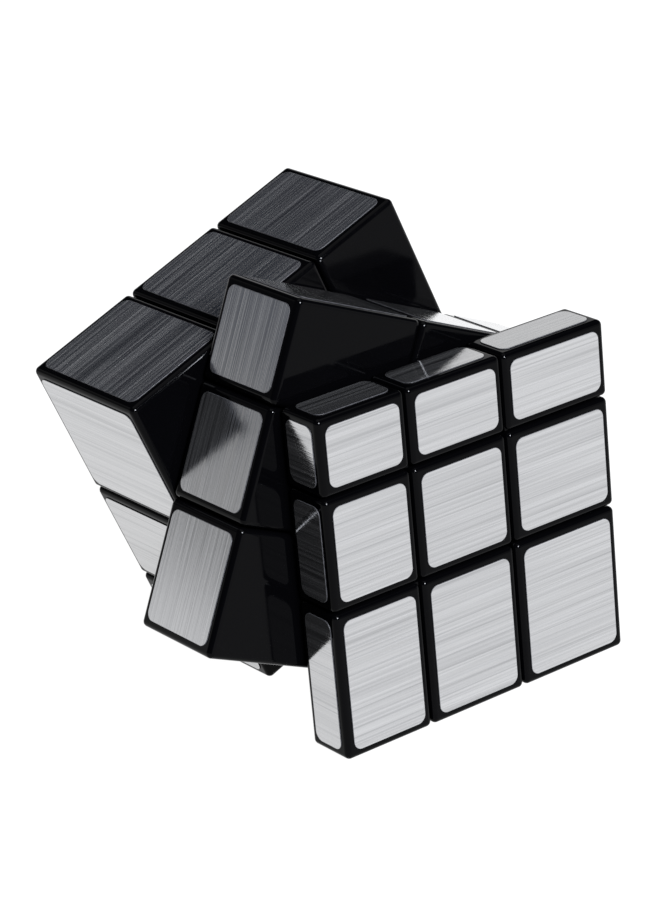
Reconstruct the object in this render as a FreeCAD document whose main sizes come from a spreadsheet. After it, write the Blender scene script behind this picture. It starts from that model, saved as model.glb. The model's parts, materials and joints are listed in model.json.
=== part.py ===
"""Mirror block cube: a 3x3x3 twisting puzzle whose layers all differ in thickness.

Solved, it is a 57 mm cube. The mechanism is centred on a six-armed core, and the cut planes lie
half a middle slice either side of the core centre. The outer layers are 17 and 21 mm (left, right),
13 and 25 mm (top, bottom) and 9.4 and 28.6 mm (front, rear), so no two faces are equally far away.

Every cubie is moulded with a foot that hooks under its neighbours. Three spherical zones round the
core centre make that possible, and in each zone the cut planes are nearer to the centre:
  skin zone   outside skirt_radius                     cuts at half the middle slice
  stalk zone  from foot_radius to skirt_radius         cuts at stalk_cut
  foot zone   from hollow_radius to foot_radius        cuts at foot_cut
Planes and spheres are both surfaces of revolution about every face axis, so each layer can turn.

The puzzle is built solved, in the core's own axes: X to the right, Y to the rear, Z to the top.
It is then left half-twisted about Y and stood on the lowest rounded corner of each of its layers.
"""

import FreeCAD
import Part
import Sketcher
import math
import os

SIZES = [
    # alias, value, what it is (mm or degrees)
    ("middle_layer", 19.0, "thickness of the middle slice on all three axes"),
    ("left_layer", 17.0, "left layer, towards -X"),
    ("right_layer", 21.0, "right layer, towards +X"),
    ("front_layer", 9.4, "front layer, towards -Y"),
    ("rear_layer", 28.6, "rear layer, towards +Y"),
    ("bottom_layer", 25.0, "bottom layer, towards -Z"),
    ("top_layer", 13.0, "top layer, towards +Z"),
    ("gap_half", 0.15, "half the running gap between neighbouring cubies"),
    ("edge_radius", 0.9, "rounding of every outer edge of a cubie"),
    ("skirt_radius", 19.0, "sphere between the skin zone and the stalk zone"),
    ("foot_radius", 15.5, "sphere between the stalk zone and the foot zone"),
    ("hollow_radius", 12.0, "sphere under the feet"),
    ("stalk_cut", 7.5, "cut planes in the stalk zone"),
    ("foot_cut", 4.65, "cut planes in the foot zone"),
    ("side_wall", 2.4, "cubie wall beside the cap"),
    ("floor_wall", 1.6, "cubie wall at a cut plane and over the skirt sphere"),
    ("cap_margin", 1.9, "rim of a cubie round its cap"),
    ("cap_thickness", 1.4, "cap plate that closes a cubie"),
    ("cap_clearance", 0.05, "gap round a cap in its seat"),
    ("cap_corner", 0.8, "corner radius of a cap"),
    ("sticker_margin", 1.35, "rim of a cubie round its sticker"),
    ("sticker_thickness", 0.15, "brushed metal foil sticker"),
    ("sticker_corner", 1.5, "corner radius of a sticker"),
    ("core_ball", 5.4, "radius of the core's hub"),
    ("arm_radius", 3.4, "radius of each of the core's six arms"),
    ("arm_reach", 8.5, "core centre to the end of an arm"),
    ("boss_radius", 4.4, "radius of a centre's boss"),
    ("boss_start", 8.7, "core centre to the foot of a boss"),
    ("boss_floor", 1.6, "floor of the boss, which the spring presses on"),
    ("well_radius", 3.2, "well for the spring and the screw's head"),
    ("bore_radius", 1.5, "hole in the boss floor for the screw"),
    ("screw_radius", 1.4, "radius of the screw's shank"),
    ("screw_start", 3.8, "core centre to the tip of a screw"),
    ("head_start", 15.3, "core centre to the underside of a screw's head"),
    ("head_radius", 2.7, "radius of a screw's head"),
    ("head_height", 1.6, "height of a screw's head"),
    ("cross_width", 0.7, "width of the cross recess in a screw's head"),
    ("cross_length", 3.0, "length of the cross recess"),
    ("cross_depth", 0.9, "depth of the cross recess"),
    ("washer_radius", 2.9, "outer radius of a washer"),
    ("washer_bore", 1.55, "bore radius of a washer"),
    ("washer_thickness", 0.4, "thickness of a washer"),
    ("washer_play", 0.1, "gap under the inner washer"),
    ("spring_radius", 2.2, "centre-line radius of a spring"),
    ("spring_wire", 0.3, "radius of the spring wire"),
    ("spring_wire_sides", 8, "sides of the spring wire's section"),
    ("spring_pitch", 1.0, "pitch of a spring"),
    ("spring_play", 0.03, "gap at each end of a spring"),
    ("middle_turn", -114.1, "turn of the middle slice from solved, positive from X towards Z"),
    ("rear_turn", 201.1, "turn of the rear layer from solved, positive from X towards Z"),
]

AXES = "xyz"
SIDES = {  # the name and thickness alias of each outer layer, by axis and sign
    (0, -1): ("left", "left_layer"),
    (0, 1): ("right", "right_layer"),
    (1, -1): ("front", "front_layer"),
    (1, 1): ("rear", "rear_layer"),
    (2, -1): ("bottom", "bottom_layer"),
    (2, 1): ("top", "top_layer"),
}
KINDS = {1: "centre", 2: "edge", 3: "corner"}
TOOL_OVERRUN = 1.0  # how far a cutting tool runs past the face it opens
SKIN_OVERLAP = 1.0  # how far the foot and the stalk run into the skin zone, to join it
LEAST_HOLLOW = 1.0  # a cubie whose hollow would be shallower than this stays solid

doc = FreeCAD.newDocument("mirror_block_cube")
sheet = doc.addObject("Spreadsheet::Sheet", "Sizes")
for row, (alias, value, meaning) in enumerate(SIZES, start=1):
    sheet.set(f"A{row}", meaning)
    sheet.set(f"B{row}", str(value))
    sheet.setAlias(f"B{row}", alias)
doc.recompute()


def size(alias):
    """The value of a cell of the sheet."""
    return float(sheet.get(alias))


def cell(alias):
    """A cell of the sheet, as an expression."""
    return f"Sizes.{alias}"


CUT = f"{cell('middle_layer')} / 2"
GAP = cell("gap_half")


def bind(obj, **expressions):
    """Binds properties of obj to expressions. A double underscore in a name stands for a dot."""
    for name, expression in expressions.items():
        obj.setExpression(name.replace("__", "."), expression)
    return obj


def add(kind, name, **expressions):
    return bind(doc.addObject(kind, name), **expressions)


def boolean(kind, name, base, tool):
    made = doc.addObject(kind, name)
    made.Base = base
    made.Tool = tool
    made.Refine = True
    return made


def joined(name, shapes):
    made = doc.addObject("Part::MultiFuse", name)
    made.Shapes = shapes
    made.Refine = True
    return made


# ---- where a cubie's material lies -----------------------------------------------------------


def face(axis, sign):
    """Distance from the core centre to an outer face of the solved cube, as an expression."""
    return f"{CUT} + {cell(SIDES[axis, sign][1])}"


def face_distance(axis, sign):
    return size("middle_layer") / 2 + size(SIDES[axis, sign][1])


def span(axis, sign, outer_cut, inner_cut, far=None):
    """(low, high) of a cubie along an axis, as expressions. A cubie of an outer layer starts at
    outer_cut, and one of the middle slice lies between the inner_cut planes."""
    if sign == 0:
        return f"-({inner_cut} - {GAP})", f"{inner_cut} - {GAP}"
    near, end = f"{outer_cut} + {GAP}", far or face(axis, sign)
    return (near, end) if sign > 0 else (f"-({end})", f"-({near})")


def inner_far(axis, sign):
    """Where the foot, the stalk and what joins them to the skin end: inside the cap's plate, or
    just outside the skirt sphere."""
    inside_cap = f"{face(axis, sign)} - {cell('cap_thickness')} / 2"
    return f"min({inside_cap}; {cell('skirt_radius')} + {SKIN_OVERLAP})"


def box(name, spans, kind="Part::Box", parent=None):
    """A box between (low, high) expressions on each axis."""
    made = parent.newObject(kind, name) if parent else doc.addObject(kind, name)
    for size_name, axis, (low, high) in zip(("Length", "Width", "Height"), AXES, spans):
        made.setExpression(size_name, f"({high}) - ({low})")
        made.setExpression(f"Placement.Base.{axis}", low)
    return made


def inset(spans, margins):
    """Spans drawn in by a margin expression on each axis."""
    return [(f"{low} + ({margin})", f"{high} - ({margin})") for (low, high), margin in zip(spans, margins)]


def rounded_box(name, spans, radius, along=None):
    """A body of one box, with all its edges rounded, or only those along one axis."""
    body = doc.addObject("PartDesign::Body", name)
    block = box(f"{name}_block", spans, "PartDesign::AdditiveBox", body)
    doc.recompute([block])
    wanted = []
    for number, edge in enumerate(block.Shape.Edges, start=1):
        direction = edge.Vertexes[-1].Point - edge.Vertexes[0].Point
        if along is None or abs(direction[along]) > 0.5 * edge.Length:
            wanted.append(f"Edge{number}")
    fillet = body.newObject("PartDesign::Fillet", f"{name}_rounding")
    fillet.Base = (block, wanted)
    fillet.setExpression("Radius", radius)
    body.Tip = fillet
    return body


# ---- spheres that bound the three zones -------------------------------------------------------


def ball(name, radius):
    return add("Part::Sphere", name, Radius=radius)


SKIN_BALL = ball("skin_ball", f"{cell('skirt_radius')} + {GAP}")
STALK_BALL = ball("stalk_ball", f"{cell('skirt_radius')} - {GAP}")
SKIRT_BALL = ball("skirt_ball", f"{cell('foot_radius')} + {GAP}")
FOOT_BALL = ball("foot_ball", f"{cell('foot_radius')} - {GAP}")
SOLE_BALL = ball("sole_ball", f"{cell('hollow_radius')} + {GAP}")
ROOF_BALL = ball("roof_ball", f"{cell('skirt_radius')} + {GAP} + {cell('floor_wall')}")
STALK_SHELL = boolean("Part::Cut", "stalk_shell", STALK_BALL, SKIRT_BALL)
LINK_SHELL = boolean("Part::Cut", "link_shell", STALK_BALL, SOLE_BALL)
FOOT_SHELL = boolean("Part::Cut", "foot_shell", FOOT_BALL, SOLE_BALL)


# ---- cubies -----------------------------------------------------------------------------------


def cubie_name(signs):
    """Such as corner_front_top_left: the kind, then front or rear, top or bottom, left or right."""
    sides = [SIDES[axis, signs[axis]][0] for axis in (1, 2, 0) if signs[axis]]
    return "_".join([KINDS[len(sides)], *sides])


def cap_axis(signs):
    """The axis that a cubie's cap faces: front or rear first, then top or bottom, then the sides."""
    return next(axis for axis in (1, 2, 0) if signs[axis])


def spans_of(signs, outer_cut, inner_cut, inner=False):
    return [
        span(axis, sign, outer_cut, inner_cut, inner_far(axis, sign) if inner and sign else None)
        for axis, sign in enumerate(signs)
    ]


def arm_rotation(axis, sign):
    """Turns +Z, along which cylinders, screws and springs are made, to one of the core's arms."""
    direction = FreeCAD.Vector(*[sign if k == axis else 0 for k in range(3)])
    return FreeCAD.Rotation(FreeCAD.Vector(0, 0, 1), direction)


def set_on_arm(made, axis, sign, start):
    """Turns what was made along +Z to one of the core's arms, and starts it at a distance from the
    core centre."""
    made.Placement.Rotation = arm_rotation(axis, sign)
    made.setExpression(f"Placement.Base.{AXES[axis]}", start if sign > 0 else f"-({start})")
    return made


def arm_cylinder(name, axis, sign, radius, start, end):
    """A cylinder along one of the core's arms, between two distances from the core centre."""
    made = add("Part::Cylinder", name, Radius=radius, Height=f"({end}) - ({start})")
    return set_on_arm(made, axis, sign, start)


def anatomy(name, signs):
    """The skin block, the stalk and the foot of a cubie, and what joins them, as one shape."""
    stalk, foot = cell("stalk_cut"), cell("foot_cut")
    block = rounded_box(f"{name}_skin", spans_of(signs, CUT, CUT), cell("edge_radius"))
    neck = box(f"{name}_neck", spans_of(signs, CUT, stalk, inner=True))
    trunk = box(f"{name}_trunk", spans_of(signs, stalk, stalk, inner=True))
    pieces = [
        boolean("Part::Cut", f"{name}_skin_zone", block, SKIN_BALL),
        boolean("Part::Cut", f"{name}_neck_zone", neck, SKIRT_BALL),
        boolean("Part::Common", f"{name}_stalk_zone", trunk, STALK_SHELL),
    ]
    if sum(map(abs, signs)) == 1:
        axis = cap_axis(signs)
        pieces.append(
            arm_cylinder(
                f"{name}_boss", axis, signs[axis], cell("boss_radius"), cell("boss_start"),
                inner_far(axis, signs[axis]),
            )
        )
        return joined(f"{name}_solid", pieces)
    ankle = box(f"{name}_ankle", spans_of(signs, stalk, foot, inner=True))
    sole = box(f"{name}_sole", spans_of(signs, foot, foot, inner=True))
    pieces.append(boolean("Part::Common", f"{name}_link_zone", ankle, LINK_SHELL))
    pieces.append(boolean("Part::Common", f"{name}_foot_zone", sole, FOOT_SHELL))
    return joined(f"{name}_solid", pieces)


def cavity(name, signs):
    """Everything that is cut out of a cubie: its hollow, the seat of its cap and a centre's well."""
    axis = cap_axis(signs)
    sign = signs[axis]
    skin = spans_of(signs, CUT, CUT)
    top = face(axis, sign)
    ledge = f"{top} - {cell('cap_thickness')}"
    floor = f"{CUT} + {GAP} + {cell('floor_wall')}"

    def between(start, end):
        return (start, end) if sign > 0 else (f"-({end})", f"-({start})")

    seat = inset(skin, [cell("cap_margin")] * 3)
    seat[axis] = between(ledge, f"{top} + {TOOL_OVERRUN}")
    hollow = inset(skin, [cell("side_wall")] * 3)
    hollow[axis] = between(floor, f"{ledge} + {cell('cap_thickness')} / 2")
    tools = [box(f"{name}_seat", seat)]
    chamber = box(f"{name}_chamber", hollow)
    doc.recompute([chamber])
    reach = max(vertex.Point.Length for vertex in chamber.Shape.Vertexes)
    roof = size("skirt_radius") + size("gap_half") + size("floor_wall")
    if reach > roof + LEAST_HOLLOW:
        tools.append(boolean("Part::Cut", f"{name}_hollow", chamber, ROOF_BALL))
    else:
        doc.removeObject(chamber.Name)
    if sum(map(abs, signs)) == 1:
        well_floor = f"{cell('boss_start')} + {cell('boss_floor')}"
        well_end = f"{ledge} + {cell('cap_thickness')} / 2"
        bore_start = f"{cell('boss_start')} - {TOOL_OVERRUN}"
        tools.append(
            arm_cylinder(f"{name}_well", axis, sign, cell("well_radius"), well_floor, well_end)
        )
        tools.append(
            arm_cylinder(f"{name}_bore", axis, sign, cell("bore_radius"), bore_start, well_end)
        )
    return joined(f"{name}_cavity", tools)


def cubie(signs):
    """The moulded body of a cubie, hollow and open where its cap goes."""
    name = cubie_name(signs)
    return boolean("Part::Cut", name, anatomy(name, signs), cavity(name, signs))


def cap(signs):
    """The plate that closes a cubie, flush with its face and hidden under the sticker."""
    axis = cap_axis(signs)
    sign = signs[axis]
    margin = f"{cell('cap_margin')} + {cell('cap_clearance')}"
    spans = inset(spans_of(signs, CUT, CUT), [margin] * 3)
    top = face(axis, sign)
    ledge = f"{top} - {cell('cap_thickness')}"
    spans[axis] = (ledge, top) if sign > 0 else (f"-({top})", f"-({ledge})")
    return rounded_box(f"{cubie_name(signs)}_cap", spans, cell("cap_corner"), along=axis)


def sticker(signs, axis):
    """The foil sticker on one outer face of a cubie."""
    sign = signs[axis]
    spans = inset(spans_of(signs, CUT, CUT), [cell("sticker_margin")] * 3)
    start = face(axis, sign)
    end = f"{start} + {cell('sticker_thickness')}"
    spans[axis] = (start, end) if sign > 0 else (f"-({end})", f"-({start})")
    name = f"{cubie_name(signs)}_sticker_{SIDES[axis, sign][0]}"
    return rounded_box(name, spans, cell("sticker_corner"), along=axis)


# ---- what is inside: core, screws, springs and washers ----------------------------------------


def core():
    """A round hub with six arms, each drilled for its screw."""
    body = doc.addObject("PartDesign::Body", "core")
    hub = body.newObject("PartDesign::AdditiveSphere", "hub")
    bind(hub, Radius=cell("core_ball"))
    for axis in range(3):
        arm = body.newObject("PartDesign::AdditiveCylinder", f"arm_{AXES[axis]}")
        bind(arm, Radius=cell("arm_radius"), Height=f"2 * {cell('arm_reach')}")
        set_on_arm(arm, axis, 1, f"-{cell('arm_reach')}")
    for (axis, sign), (side, _) in SIDES.items():
        hole = body.newObject("PartDesign::SubtractiveCylinder", f"screw_hole_{side}")
        bind(hole, Radius=cell("screw_radius"), Height=f"{cell('arm_reach')} - {cell('screw_start')}")
        set_on_arm(hole, axis, sign, cell("screw_start"))
    return body


def plane_of(body, role):
    return next(f for f in body.Origin.OriginFeatures if f.Role == role)


def sketch_on(body, name, role, lift=None):
    sketch = body.newObject("Sketcher::SketchObject", name)
    sketch.AttachmentSupport = (plane_of(body, role), [""])
    sketch.MapMode = "FlatFace"
    if lift:
        sketch.setExpression("AttachmentOffset.Base.z", lift)
    return sketch


def polyline(sketch, points):
    """A closed outline through points, each a pair of expressions for its distances from the axes."""
    corners = [FreeCAD.Vector(10.0 + k, 10.0 + k * k, 0) for k in range(len(points))]
    for start, end in zip(corners, corners[1:] + corners[:1]):
        sketch.addGeometry(Part.LineSegment(start, end))
    for k in range(len(points)):
        sketch.addConstraint(Sketcher.Constraint("Coincident", k, 2, (k + 1) % len(points), 1))
    for k, (across, along) in enumerate(points):
        for kind, expression in (("DistanceX", across), ("DistanceY", along)):
            if expression == "0":
                target = -2 if kind == "DistanceX" else -1
                sketch.addConstraint(Sketcher.Constraint("PointOnObject", k, 1, target))
                continue
            value = corners[k].x if kind == "DistanceX" else corners[k].y
            number = sketch.addConstraint(Sketcher.Constraint(kind, -1, 1, k, 1, value))
            sketch.setExpression(f"Constraints[{number}]", expression)
    return sketch


def screw(side, axis, sign):
    """A pan-head screw with a cross recess, turned from one profile."""
    body = doc.addObject("PartDesign::Body", f"screw_{side}")
    shank, head = cell("screw_radius"), cell("head_radius")
    tip, under = cell("screw_start"), cell("head_start")
    top = f"{under} + {cell('head_height')}"
    profile = polyline(
        sketch_on(body, f"screw_profile_{side}", "XZ_Plane"),
        [("0", tip), (shank, tip), (shank, under), (head, under), (head, top), ("0", top)],
    )
    turned = body.newObject("PartDesign::Revolution", f"screw_turned_{side}")
    turned.Profile = profile
    turned.ReferenceAxis = (profile, ["V_Axis"])
    turned.Angle = 360
    for part_name, long_first in (("cross_a", True), ("cross_b", False)):
        slot = body.newObject("PartDesign::SubtractiveBox", f"{part_name}_{side}")
        length, width = cell("cross_length"), cell("cross_width")
        across = (length, width) if long_first else (width, length)
        bind(slot, Length=across[0], Width=across[1], Height=cell("cross_depth"))
        bind(slot, Placement__Base__x=f"-{across[0]} / 2", Placement__Base__y=f"-{across[1]} / 2")
        slot.setExpression("Placement.Base.z", f"{top} - {cell('cross_depth')}")
        body.Tip = slot
    body.Placement.Rotation = arm_rotation(axis, sign)
    return body


def washer(name, axis, sign, start):
    """A flat ring round the screw, from start outwards."""
    disc = arm_cylinder(
        f"{name}_disc", axis, sign, cell("washer_radius"), start,
        f"{start} + {cell('washer_thickness')}",
    )
    bore = arm_cylinder(
        f"{name}_hole", axis, sign, cell("washer_bore"), f"{start} - {TOOL_OVERRUN}",
        f"{start} + {cell('washer_thickness')} + {TOOL_OVERRUN}",
    )
    return boolean("Part::Cut", name, disc, bore)


WELL_FLOOR = f"{cell('boss_start')} + {cell('boss_floor')}"
INNER_WASHER = f"{WELL_FLOOR} + {cell('washer_play')}"
OUTER_WASHER = f"{cell('head_start')} - {cell('washer_thickness')}"


def spring(side, axis, sign):
    """A compression spring between the two washers of an arm."""
    end_room = f"{cell('spring_wire')} + {cell('spring_play')}"
    bottom = f"{INNER_WASHER} + {cell('washer_thickness')} + {end_room}"
    helix = add(
        "Part::Helix", f"spring_line_{side}", Radius=cell("spring_radius"),
        Pitch=cell("spring_pitch"), Height=f"{OUTER_WASHER} - {end_room} - ({bottom})",
    )
    section = add(
        "Part::RegularPolygon", f"spring_section_{side}", Circumradius=cell("spring_wire"),
        Polygon=cell("spring_wire_sides"),
    )
    section.Placement.Rotation = FreeCAD.Rotation(FreeCAD.Vector(1, 0, 0), 90)
    section.setExpression("Placement.Base.x", cell("spring_radius"))
    doc.recompute([helix, section])
    coil = doc.addObject("Part::Sweep", f"spring_{side}")
    coil.Sections = [section]
    coil.Spine = (helix, [f"Edge{k + 1}" for k in range(len(helix.Shape.Edges))])
    coil.Solid = True
    coil.Frenet = True
    return set_on_arm(coil, axis, sign, bottom)


def group(name, members):
    """Several separate solids of one kind, kept as one sub-part."""
    made = doc.addObject("Part::Compound", name)
    made.Links = members
    return made


# ---- the assembly -----------------------------------------------------------------------------

LAYERS = {"front_layer": -1, "middle_slice": 0, "rear_layer": 1}
subparts = {layer: [] for layer in LAYERS}
for layer, depth in LAYERS.items():
    stickers = []
    for up in (1, 0, -1):
        for right in (-1, 0, 1):
            signs = (right, depth, up)
            if signs == (0, 0, 0):
                continue
            subparts[layer] += [cubie(signs), cap(signs)]
            stickers += [sticker(signs, axis) for axis in range(3) if signs[axis]]
    subparts[layer].append(group(f"{layer}_stickers", stickers))

screws, springs, washers = [], [], []
for (axis, sign), (side, _) in SIDES.items():
    screws.append(screw(side, axis, sign))
    springs.append(spring(side, axis, sign))
    washers.append(washer(f"inner_washer_{side}", axis, sign, INNER_WASHER))
    washers.append(washer(f"outer_washer_{side}", axis, sign, OUTER_WASHER))
subparts["middle_slice"] += [
    core(),
    group("core_screws", screws),
    group("core_springs", springs),
    group("core_washers", washers),
]
doc.recompute()


# ---- the half-twisted pose, and standing it up ------------------------------------------------

TURNS = {"front_layer": 0.0, "middle_slice": size("middle_turn"), "rear_layer": size("rear_turn")}
TURN_AXIS = FreeCAD.Vector(0, -1, 0)  # turns run from X towards Z, as seen from the front


def turned(layer):
    return FreeCAD.Rotation(TURN_AXIS, TURNS[layer])


def corner_centres(layer):
    """Centres of the spheres that round the eight corners of a layer, once it is turned."""
    depth = LAYERS[layer]
    radius = size("edge_radius")
    half = size("middle_layer") / 2
    gap = size("gap_half")
    if depth == 0:
        depths = (-(half - gap - radius), half - gap - radius)
    else:
        near, far = half + gap + radius, face_distance(1, depth) - radius
        depths = (depth * near, depth * far)
    widths = [sign * (face_distance(0, sign) - radius) for sign in (-1, 1)]
    heights = [sign * (face_distance(2, sign) - radius) for sign in (-1, 1)]
    corners = [FreeCAD.Vector(x, y, z) for x in widths for y in depths for z in heights]
    return [turned(layer).multVec(corner) for corner in corners]


def standing_rotation():
    """The rotation that stands the twisted puzzle on the lowest corner of each layer."""
    up = FreeCAD.Vector(0, 0, 1)
    for _ in range(10):
        feet = [min(corner_centres(layer), key=lambda corner: corner.dot(up)) for layer in LAYERS]
        normal = (feet[1] - feet[0]).cross(feet[2] - feet[0]).normalize()
        normal = normal if normal.z > 0 else -normal
        if (normal - up).Length < 1e-9:
            break
        up = normal
    for layer in LAYERS:
        for corner in corner_centres(layer):
            assert (corner - feet[0]).dot(up) > -1e-6, "the puzzle doesn't stand on these corners"
    depth = FreeCAD.Vector(0, 1, 0)
    ahead = (depth - up * depth.dot(up)).normalize()
    return FreeCAD.Rotation(ahead.cross(up), ahead, up, "ZYX").inverted()


STAND = standing_rotation()
for layer, members in subparts.items():
    for member in members:
        # a boolean or a compound is built in the core's axes, so its placement is only the pose
        member.Placement = FreeCAD.Placement(FreeCAD.Vector(), STAND * turned(layer))
doc.recompute()
standing = Part.makeCompound([member.Shape for members in subparts.values() for member in members])
bounds = standing.optimalBoundingBox(True, False)
LIFT = -FreeCAD.Vector(bounds.Center.x, bounds.Center.y, bounds.ZMin)
for layer, members in subparts.items():
    for member in members:
        member.Placement = FreeCAD.Placement(LIFT, STAND * turned(layer))
doc.recompute()

failed = [f"{o.Label}: {o.State}" for o in doc.Objects if {"Invalid", "Error"} & set(o.State)]
assert not failed, failed
os.makedirs("parts", exist_ok=True)
total = 0.0
for layer, members in subparts.items():
    for member in members:
        shape = member.Shape
        assert not shape.isNull() and shape.isValid(), member.Label
        assert all(solid.isClosed() for solid in shape.Solids), member.Label
        shape.exportStep(f"parts/{member.Label}.step")
        total += shape.Volume
        print(layer, member.Label, len(shape.Solids), "solids", round(shape.Volume, 1), "mm3")

rear_sticker = FreeCAD.Vector(0, face_distance(1, 1) + size("sticker_thickness"), 0)
front_sticker = FreeCAD.Vector(0, -face_distance(1, -1) - size("sticker_thickness"), 0)
print("nodes", sum(len(members) for members in subparts.values()), "volume", round(total / 1000, 2), "cm3")
print("core centre", tuple(LIFT), "turn axis, front to rear", tuple(STAND.multVec(FreeCAD.Vector(0, 1, 0))))
print("rear rest face", tuple(LIFT + STAND.multVec(rear_sticker)))
print("front rest face", tuple(LIFT + STAND.multVec(front_sticker)))
print("size", round(bounds.XLength, 3), round(bounds.YLength, 3), round(bounds.ZLength, 3))
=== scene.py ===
"""The looks of the mirror block cube: glossy black cubies and brushed foil stickers.

The cubies, caps and inner pieces are the frame's own, with better materials. Each layer's stickers
are replaced by foils with a rolled edge, and with a UV map in millimetres for the brushing.
"""

import json
import math
import random

import bmesh
import bpy
import numpy as np
from mathutils import Matrix, Vector


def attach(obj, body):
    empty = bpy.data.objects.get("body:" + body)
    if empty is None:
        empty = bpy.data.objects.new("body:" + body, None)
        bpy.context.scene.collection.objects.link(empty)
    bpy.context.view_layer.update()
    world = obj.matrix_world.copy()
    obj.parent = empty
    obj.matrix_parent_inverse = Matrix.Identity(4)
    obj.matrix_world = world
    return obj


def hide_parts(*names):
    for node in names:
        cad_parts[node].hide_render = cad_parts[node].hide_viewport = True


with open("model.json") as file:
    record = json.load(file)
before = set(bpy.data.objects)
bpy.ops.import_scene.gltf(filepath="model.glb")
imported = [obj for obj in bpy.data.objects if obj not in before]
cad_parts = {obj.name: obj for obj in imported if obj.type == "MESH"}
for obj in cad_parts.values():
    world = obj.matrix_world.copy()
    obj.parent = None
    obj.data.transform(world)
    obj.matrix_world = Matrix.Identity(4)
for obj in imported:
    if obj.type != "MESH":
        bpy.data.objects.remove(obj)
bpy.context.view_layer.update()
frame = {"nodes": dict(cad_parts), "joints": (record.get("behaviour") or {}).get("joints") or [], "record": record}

MM = 0.001

# ---- sizes, in metres ---------------------------------------------------------------------------

FOIL_THICKNESS = 0.15 * MM
FOIL_EDGE = 0.07 * MM  # radius of the rolled edge of a foil
FOIL_CORNER = 1.5 * MM
CORNER_STEPS = 12
EDGE_STEPS = 4
RIM_SLOT = 1  # the rim's place among the materials of a piece of foils
BRUSHING_SPREAD = 400  # mm of brushing, within which each foil's pattern starts somewhere

# ---- camera -------------------------------------------------------------------------------------

CAMERA_TARGET = Vector((-2.6, -2.7, 39.8)) * MM
CAMERA_DISTANCE = 539.8 * MM
CAMERA_AZIMUTH = 37.74  # degrees that the view is turned from +Y towards +X
CAMERA_ELEVATION = 21.33
CAMERA_ROLL = 2.52
CAMERA_LENS = 134.9  # mm
CAMERA_SENSOR = 36  # mm
CAMERA_REACH = 20  # metres


def make_camera():
    """The camera, placed by its target and by the turn, tilt and roll of its line of sight."""
    azimuth, elevation = math.radians(CAMERA_AZIMUTH), math.radians(CAMERA_ELEVATION)
    forward = Vector(
        (
            math.sin(azimuth) * math.cos(elevation),
            math.cos(azimuth) * math.cos(elevation),
            -math.sin(elevation),
        )
    )
    level = forward.cross(Vector((0, 0, 1))).normalized()
    rolled = Matrix.Rotation(-math.radians(CAMERA_ROLL), 3, forward)
    right = rolled @ level
    up = right.cross(forward)
    data = bpy.data.cameras.new("camera")
    data.lens = CAMERA_LENS
    data.sensor_width = CAMERA_SENSOR
    data.clip_end = CAMERA_REACH
    camera = bpy.data.objects.new("camera", data)
    place = Matrix.Translation(CAMERA_TARGET - forward * CAMERA_DISTANCE)
    rotation = Matrix((right, up, -forward)).transposed()
    camera.matrix_world = place @ rotation.to_4x4()
    bpy.context.scene.collection.objects.link(camera)
    bpy.context.scene.camera = camera


# ---- materials ----------------------------------------------------------------------------------


class Nodes:
    """A short way to add and link the nodes of a material or a world."""

    def __init__(self, owner, main="Principled BSDF"):
        owner.use_nodes = True
        self.owner = owner
        self.tree = owner.node_tree
        self.main = self.tree.nodes[main]

    def add(self, kind, inputs=None, **settings):
        """A new node, with its settings and with a link or a value for each of its inputs."""
        node = self.tree.nodes.new(kind)
        for key, value in settings.items():
            setattr(node, key, value)
        for key, value in (inputs or {}).items():
            self.put(node.inputs[key], value)
        return node

    def put(self, socket, value):
        """Link another node's output to a socket, or set a plain value on it."""
        if isinstance(value, bpy.types.NodeSocket):
            self.tree.links.new(value, socket)
        else:
            socket.default_value = value

    def set(self, **inputs):
        """Put values on the main node's inputs. Their names have _ for each space."""
        for name, value in inputs.items():
            self.put(self.main.inputs[name.replace("_", " ")], value)

    def maths(self, operation, first, second=0.0):
        return self.add("ShaderNodeMath", {0: first, 1: second}, operation=operation).outputs[0]

    def plus(self, first, second):
        return self.maths("ADD", first, second)

    def times(self, first, second):
        return self.maths("MULTIPLY", first, second)

    def ramp(self, value, low, high, to_low=0.0, to_high=1.0, shape="LINEAR"):
        """The range from low to high carried over to the range from to_low to to_high."""
        limits = {"From Min": low, "From Max": high, "To Min": to_low, "To Max": to_high}
        node = self.add("ShaderNodeMapRange", {"Value": value, **limits}, interpolation_type=shape)
        return node.outputs["Result"]

    def tones(self, value, *stops):
        """A colour that follows value through stops, each a position and a colour."""
        node = self.add("ShaderNodeValToRGB", {"Fac": value})
        elements = node.color_ramp.elements
        for element, (position, colour) in zip(elements, stops):
            element.position = position
            element.color = (*colour, 1)
        for position, colour in stops[len(elements):]:
            elements.new(position).color = (*colour, 1)
        return node.outputs["Color"]

    def noise(self, scale, detail, roughness=0.5):
        """Noise in the object's own space, in features per metre."""
        where = self.add("ShaderNodeTexCoord").outputs["Object"]
        inputs = {"Vector": where, "Scale": scale, "Detail": detail, "Roughness": roughness}
        return self.add("ShaderNodeTexNoise", inputs).outputs["Fac"]

    def bump(self, height, strength, distance):
        inputs = {"Strength": strength, "Distance": distance, "Height": height}
        return self.add("ShaderNodeBump", inputs).outputs["Normal"]


def new_material(name):
    return Nodes(bpy.data.materials.new(name))


def black_plastic():
    """Polished black ABS: deep black, with the faint waviness of a moulding and handling haze."""
    nodes = new_material("black_plastic")
    haze = nodes.noise(160, 4, 0.6)
    wave = nodes.noise(110, 1)
    nodes.set(
        Base_Color=(0.0003, 0.0003, 0.0004, 1),
        Specular_IOR_Level=0.055,
        Roughness=nodes.ramp(haze, 0.35, 0.75, 0.05, 0.13),
        Normal=nodes.bump(wave, 0.02, 0.2 * MM),
    )
    return nodes.owner


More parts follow.
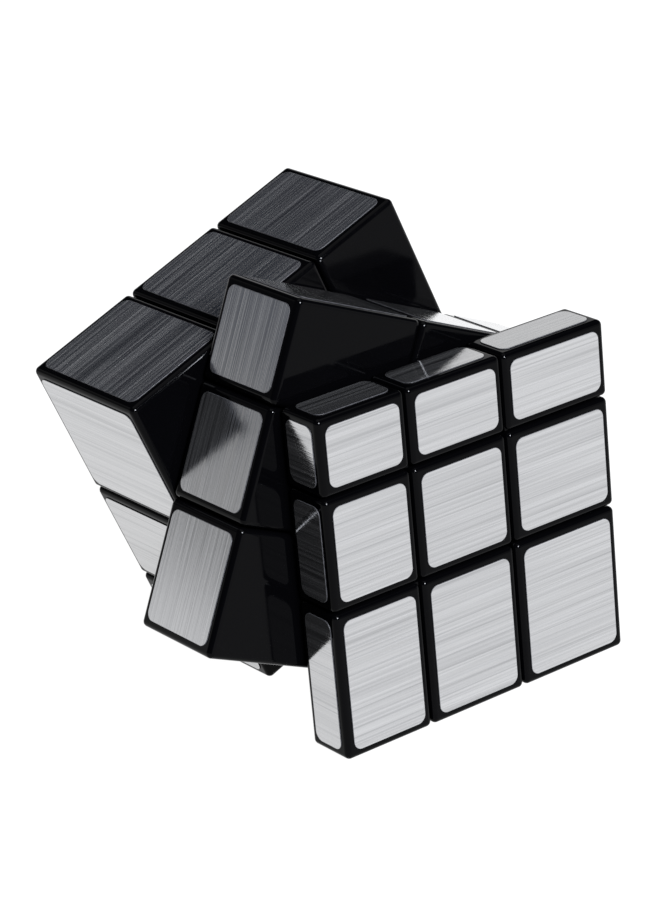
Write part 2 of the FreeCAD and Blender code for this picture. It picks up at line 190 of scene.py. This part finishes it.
# Features per millimetre along and across the brushing, detail, its roughness, and an offset
STREAKS = {
    "bands": (0.008, 0.5, 1, 0.5, 3),
    "scratches": (0.012, 2.2, 2, 0.6, 41),
    "hairs": (0.025, 3.6, 1, 0.5, 17),
    "scores": (0.012, 2.0, 1, 0.5, 55),
    "clouds": (0.02, 1.6, 3, 0.75, 63),
    "grooves": (0.012, 4.5, 1, 0.5, 77),
    "sheets": (0.004, 0.004, 0, 0.5, 9),
}


def brushed_foil():
    """Brushed metallised foil. U runs along the brushing and V across it, both in millimetres."""
    nodes = new_material("brushed_foil")
    where = nodes.add("ShaderNodeUVMap", uv_map="brushing").outputs["UV"]

    def streaks(name):
        """Noise drawn out along the brushing."""
        along, across, detail, roughness, offset = STREAKS[name]
        scale = {"Scale": (along, across, 1), "Location": (offset, offset, 0)}
        stretched = nodes.add("ShaderNodeMapping", {"Vector": where, **scale}).outputs["Vector"]
        inputs = {"Vector": stretched, "Scale": 1.0, "Detail": detail, "Roughness": roughness}
        noise = nodes.add("ShaderNodeTexNoise", inputs, noise_dimensions="2D")
        return noise.outputs["Fac"]

    fine = nodes.plus(nodes.times(streaks("scratches"), 0.45), nodes.times(streaks("hairs"), 0.4))
    mixed = nodes.plus(nodes.times(streaks("bands"), 0.15), fine)
    sheet_tone = nodes.ramp(streaks("sheets"), 0.3, 0.7, -0.06, 0.06)
    scores = nodes.ramp(streaks("scores"), 0.30, 0.38, -0.24, 0.0)
    colour = nodes.tones(
        nodes.plus(nodes.plus(mixed, sheet_tone), scores),
        (0.1, (0.365, 0.368, 0.375)),
        (0.37, (0.427, 0.43, 0.437)),
        (0.63, (0.51, 0.512, 0.518)),
    )
    haze = nodes.plus(mixed, nodes.times(streaks("clouds"), 0.8))
    relief = nodes.plus(nodes.times(streaks("grooves"), 0.5), nodes.times(mixed, 0.15))
    tangent = nodes.add("ShaderNodeTangent", direction_type="UV_MAP", uv_map="brushing")
    nodes.set(
        Base_Color=colour,
        Metallic=nodes.ramp(haze, 0.7, 1.1, 0.992, 0.965),
        Roughness=nodes.ramp(haze, 0.82, 1.06, 0.09, 0.15),
        Anisotropic=0.8,
        Anisotropic_Rotation=0.25,  # the grooves blur light across them
        Normal=nodes.bump(relief, 1.0, 0.02 * MM),
        Tangent=tangent.outputs["Tangent"],
    )
    return nodes.owner


def foil_rim():
    """The cut edge of a foil's clear film, a dull dark grey."""
    nodes = new_material("foil_rim")
    grain = nodes.noise(1500, 2)
    nodes.set(
        Base_Color=nodes.tones(grain, (0.35, (0.012, 0.012, 0.013)), (0.65, (0.022, 0.022, 0.024))),
        Specular_IOR_Level=0.2,
        Roughness=0.45,
    )
    return nodes.owner


def core_plastic():
    """Off-white moulded nylon, slightly mottled."""
    nodes = new_material("core_plastic")
    mottle = nodes.noise(700, 4)
    nodes.set(
        Base_Color=nodes.tones(mottle, (0.35, (0.56, 0.56, 0.53)), (0.65, (0.66, 0.66, 0.63))),
        Roughness=0.5,
        Normal=nodes.bump(mottle, 0.1, 0.1 * MM),
    )
    return nodes.owner


def steel():
    """Zinc-plated steel with a fine uneven sheen."""
    nodes = new_material("steel")
    grain = nodes.noise(2500, 3)
    nodes.set(
        Base_Color=nodes.tones(grain, (0.3, (0.42, 0.43, 0.45)), (0.7, (0.62, 0.62, 0.62))),
        Metallic=1.0,
        Roughness=nodes.ramp(grain, 0.3, 0.7, 0.22, 0.38),
    )
    return nodes.owner


MATERIALS = {
    "black_plastic": black_plastic(),
    "brushed_foil": brushed_foil(),
    "foil_rim": foil_rim(),
    "core_plastic": core_plastic(),
    "steel": steel(),
}
# Each CAD node gets the material that its slot names
SLOTS = {part["node"]: part["material_slot"] for part in frame["record"]["subparts"]}
for name, node in frame["nodes"].items():
    node.data.materials.clear()
    node.data.materials.append(MATERIALS[SLOTS[name]])

# ---- stickers -----------------------------------------------------------------------------------

front_turn, rear_turn = frame["joints"]
CORE = Vector(front_turn["pos_m"])
TURN_AXIS = Vector(rear_turn["axis"]).normalized()  # from front to rear
RIGHT_FACE = 30.5 * MM  # core centre to the right face of the solved cube
FACE_TOLERANCE = 1.0 * MM


def islands(mesh):
    """The separate solids of a mesh, each as an array of its corners' positions."""
    flat = np.empty(len(mesh.vertices) * 3)
    mesh.vertices.foreach_get("co", flat)
    points, inverse = np.unique(flat.reshape(-1, 3).round(7), axis=0, return_inverse=True)
    inverse = inverse.ravel()
    leader = list(range(len(points)))

    def leader_of(k):
        while leader[k] != k:
            leader[k] = leader[leader[k]]
            k = leader[k]
        return k

    for edge in mesh.edges:
        first, second = (leader_of(inverse[v]) for v in edge.vertices)
        leader[first] = second
    groups = {}
    for k, point in enumerate(points):
        groups.setdefault(leader_of(k), []).append(point)
    return [np.array(group) for group in groups.values()]


def outward_normal(plate):
    """The normal of a thin plate, pointing away from the core."""
    middle = plate.mean(axis=0)
    normal = Vector(np.linalg.svd(plate - middle)[2][2])
    return normal if normal.dot(Vector(middle) - CORE) > 0 else -normal


def is_along(normal, axis):
    """Whether a face looks along an axis. Every face does, or else is square to it."""
    return abs(normal.dot(axis)) > 0.5


def span_along(plate, direction):
    """How near and how far along a direction a plate reaches."""
    distances = plate @ np.array(direction)
    return float(distances.min()), float(distances.max())


def rounded_outline(half_length, half_width, radius):
    """Points round a rectangle with rounded corners, counter-clockwise."""
    points = []
    for quarter, (along, across) in enumerate(((1, 1), (-1, 1), (-1, -1), (1, -1))):
        centre = (along * (half_length - radius), across * (half_width - radius))
        for step in range(CORNER_STEPS + 1):
            angle = math.pi / 2 * (quarter + step / CORNER_STEPS)
            u = centre[0] + radius * math.cos(angle)
            v = centre[1] + radius * math.sin(angle)
            points.append((u, v))
    return points


def edge_profile():
    """The rings of a foil's edge from the bottom up: how far in from the outline, and how high."""
    straight = FOIL_THICKNESS - FOIL_EDGE
    levels = [(0.0, 0.0), (0.0, straight)]
    for step in range(1, EDGE_STEPS + 1):
        angle = math.pi / 2 * step / EDGE_STEPS
        inward = FOIL_EDGE * (1 - math.cos(angle))
        levels.append((inward, straight + FOIL_EDGE * math.sin(angle)))
    return levels


def add_foil(mesh, brushing, plate, grain, normal, draw):
    """One foil on a CAD plate's place: a rolled edge, and a UV map along the brushing."""
    across = normal.cross(grain)
    low_u, high_u = span_along(plate, grain)
    low_v, high_v = span_along(plate, across)
    base, _ = span_along(plate, normal)
    centre = grain * (low_u + high_u) / 2 + across * (low_v + high_v) / 2 + normal * base
    half_length, half_width = (high_u - low_u) / 2, (high_v - low_v) / 2
    start_u, start_v = draw.uniform(0, BRUSHING_SPREAD), draw.uniform(0, BRUSHING_SPREAD)
    rings = []
    for inward, height in edge_profile():
        outline = rounded_outline(half_length - inward, half_width - inward, FOIL_CORNER - inward)
        rings.append(
            [mesh.verts.new(centre + grain * u + across * v + normal * height) for u, v in outline]
        )
    faces = []
    for lower, upper in zip(rings, rings[1:]):
        for k in range(len(lower)):
            following = (k + 1) % len(lower)
            faces.append(mesh.faces.new((lower[k], lower[following], upper[following], upper[k])))
            faces[-1].smooth = True
            faces[-1].material_index = RIM_SLOT
    faces.append(mesh.faces.new(rings[-1]))
    faces.append(mesh.faces.new(rings[0][::-1]))
    for made in faces:
        for loop in made.loops:
            place = loop.vert.co - centre
            loop[brushing].uv = (
                place.dot(grain) / MM + start_u,
                place.dot(across) / MM + start_v,
            )


def make_stickers(body, node, seed):
    """All of a layer's foils as one piece.

    The grain runs from left to right on the front, rear, top and bottom of the solved cube, and
    from front to rear on its left and right sides.
    """
    plates = islands(frame["nodes"][node].data)
    normals = [outward_normal(plate) for plate in plates]
    rightward = next(
        normal
        for plate, normal in zip(plates, normals)
        if not is_along(normal, TURN_AXIS)
        and abs(span_along(plate, normal)[0] - CORE.dot(normal) - RIGHT_FACE) < FACE_TOLERANCE
    )
    order = sorted(range(len(plates)), key=lambda k: tuple(plates[k].mean(axis=0).round(4)))
    draw = random.Random(seed)
    mesh = bmesh.new()
    brushing = mesh.loops.layers.uv.new("brushing")
    for k in order:
        grain = TURN_AXIS if is_along(normals[k], rightward) else rightward
        add_foil(mesh, brushing, plates[k], grain, normals[k], draw)
    data = bpy.data.meshes.new(node + "_foils")
    mesh.to_mesh(data)
    mesh.free()
    piece = bpy.data.objects.new(node + "_foils", data)
    bpy.context.scene.collection.objects.link(piece)
    data.materials.append(MATERIALS["brushed_foil"])
    data.materials.append(MATERIALS["foil_rim"])
    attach(piece, body)
    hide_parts(node)


for seed, body in enumerate(frame["record"]["behaviour"]["bodies"]):
    make_stickers(body, body + "_stickers", seed)

make_camera()

# ---- studio -------------------------------------------------------------------------------------

SUN_FROM = Vector((-0.12, -0.82, 0.55))
SUN_WIDTH = 22  # degrees
SUN_STRENGTH = 18.0
SUN_COLOUR = (0.9, 0.93, 1.0)

BACKDROP_TURN = math.radians(60)  # of its centre, from +Y towards +X
BACKDROP_AHEAD = (math.sin(BACKDROP_TURN), math.cos(BACKDROP_TURN))
BACKDROP_EDGE = (-0.22, 0.35)  # cosines of the angles off its centre where it is dark and bright
BACKDROP_LEAST = 0.08  # its brightness beyond the dark edge
BACKDROP_TOP = (0.385, 0.47)  # the sines of the elevations where it fades out
HORIZON_GLOW = 0.42
HORIZON_TOP = 0.045  # sine of the elevation where the horizon's glow ends
LAMP_EDGE = (0.84, 0.92)  # the sines of the elevations where the overhead light fades in
ROOM_LIGHT = 0.03
ROOM_TINT = (0.8, 0.9, 1.2, 1)
TINTED_BELOW = 0.3  # the brightness from which the room's light is white
LEAST_LEVEL_SQUARED = 0.001  # keeps straight up and straight down off a division by zero

FLOOR_SIZE = 12  # metres
FLOOR_GREY = 0.035
FLOOR_FADE = (0.5, 2.2)  # metres from the puzzle
FLOOR_PAINTED_SHADE = 0.88  # painted shade of the floor's glow, far off, on the side away from the backdrop


def towards_backdrop(nodes, x, y, length):
    """The cosine of the angle between a level vector and the backdrop's centre."""
    ahead = nodes.plus(nodes.times(x, BACKDROP_AHEAD[0]), nodes.times(y, BACKDROP_AHEAD[1]))
    return nodes.maths("DIVIDE", ahead, length)


def make_floor():
    """A wide white table that glows evenly near the puzzle; further off, on the side away from the backdrop,
    painted shade dims its glow.
    """
    bpy.ops.mesh.primitive_plane_add(size=FLOOR_SIZE)
    floor = bpy.context.object
    floor.name = "floor"
    nodes = new_material("floor")
    where = nodes.add("ShaderNodeTexCoord").outputs["Object"]
    distance = nodes.add("ShaderNodeVectorMath", {0: where}, operation="LENGTH").outputs["Value"]
    x, y, _ = nodes.add("ShaderNodeSeparateXYZ", {0: where}).outputs
    facing = towards_backdrop(nodes, x, y, distance)
    # painted shade: far off, on the side away from the backdrop, the floor's glow is dimmed
    painted_shade = nodes.ramp(facing, *BACKDROP_EDGE, FLOOR_PAINTED_SHADE, 0.0)
    far = nodes.ramp(distance, *FLOOR_FADE, 0.0, 1.0)
    nodes.set(
        Base_Color=(FLOOR_GREY, FLOOR_GREY, FLOOR_GREY, 1),
        Roughness=0.95,
        Specular_IOR_Level=0.1,
        Emission_Color=(1, 1, 1, 1),
        Emission_Strength=nodes.maths("SUBTRACT", 1.0, nodes.times(far, painted_shade)),
    )
    floor.data.materials.append(nodes.owner)


def make_sun():
    """The soft light at the front, which makes the bright dots on the cubies' corners."""
    data = bpy.data.lights.new("key", "SUN")
    data.energy = SUN_STRENGTH
    data.color = SUN_COLOUR
    data.angle = math.radians(SUN_WIDTH)
    sun = bpy.data.objects.new("key", data)
    sun.rotation_euler = SUN_FROM.to_track_quat("Z", "Y").to_euler()
    bpy.context.scene.collection.objects.link(sun)


def make_world():
    """A white backdrop on the right, a glow all round the horizon and a soft light overhead.

    The rest of the room is dark and a little blue.
    """
    world = bpy.data.worlds.new("studio")
    nodes = Nodes(world, "Background")

    def fade(value, *limits):
        return nodes.ramp(value, *limits, shape="SMOOTHSTEP")

    direction = nodes.add("ShaderNodeTexCoord").outputs["Generated"]
    x, y, z = nodes.add("ShaderNodeSeparateXYZ", {0: direction}).outputs
    level_squared = nodes.maths("SUBTRACT", 1.0, nodes.times(z, z))
    level = nodes.maths("SQRT", nodes.maths("MAXIMUM", level_squared, LEAST_LEVEL_SQUARED))
    facing = towards_backdrop(nodes, x, y, level)
    side = fade(facing, *BACKDROP_EDGE, BACKDROP_LEAST, 1.0)
    low = fade(z, *BACKDROP_TOP, 1.0, 0.0)
    horizon = fade(z, 0.0, HORIZON_TOP, HORIZON_GLOW, 0.0)
    overhead = fade(z, *LAMP_EDGE, 0.0, 1.0)
    glow = nodes.plus(nodes.times(side, low), nodes.plus(horizon, overhead))
    tint = nodes.add("ShaderNodeMix", data_type="RGBA", clamp_factor=True)
    nodes.put(tint.inputs[0], fade(glow, 0.0, TINTED_BELOW, 0.0, 1.0))
    tint.inputs["A"].default_value = ROOM_TINT
    tint.inputs["B"].default_value = (1, 1, 1, 1)
    nodes.set(Strength=nodes.plus(glow, ROOM_LIGHT), Color=tint.outputs["Result"])
    bpy.context.scene.world = world


make_floor()
make_sun()
make_world()
bpy.context.scene.view_settings.view_transform = "Standard"
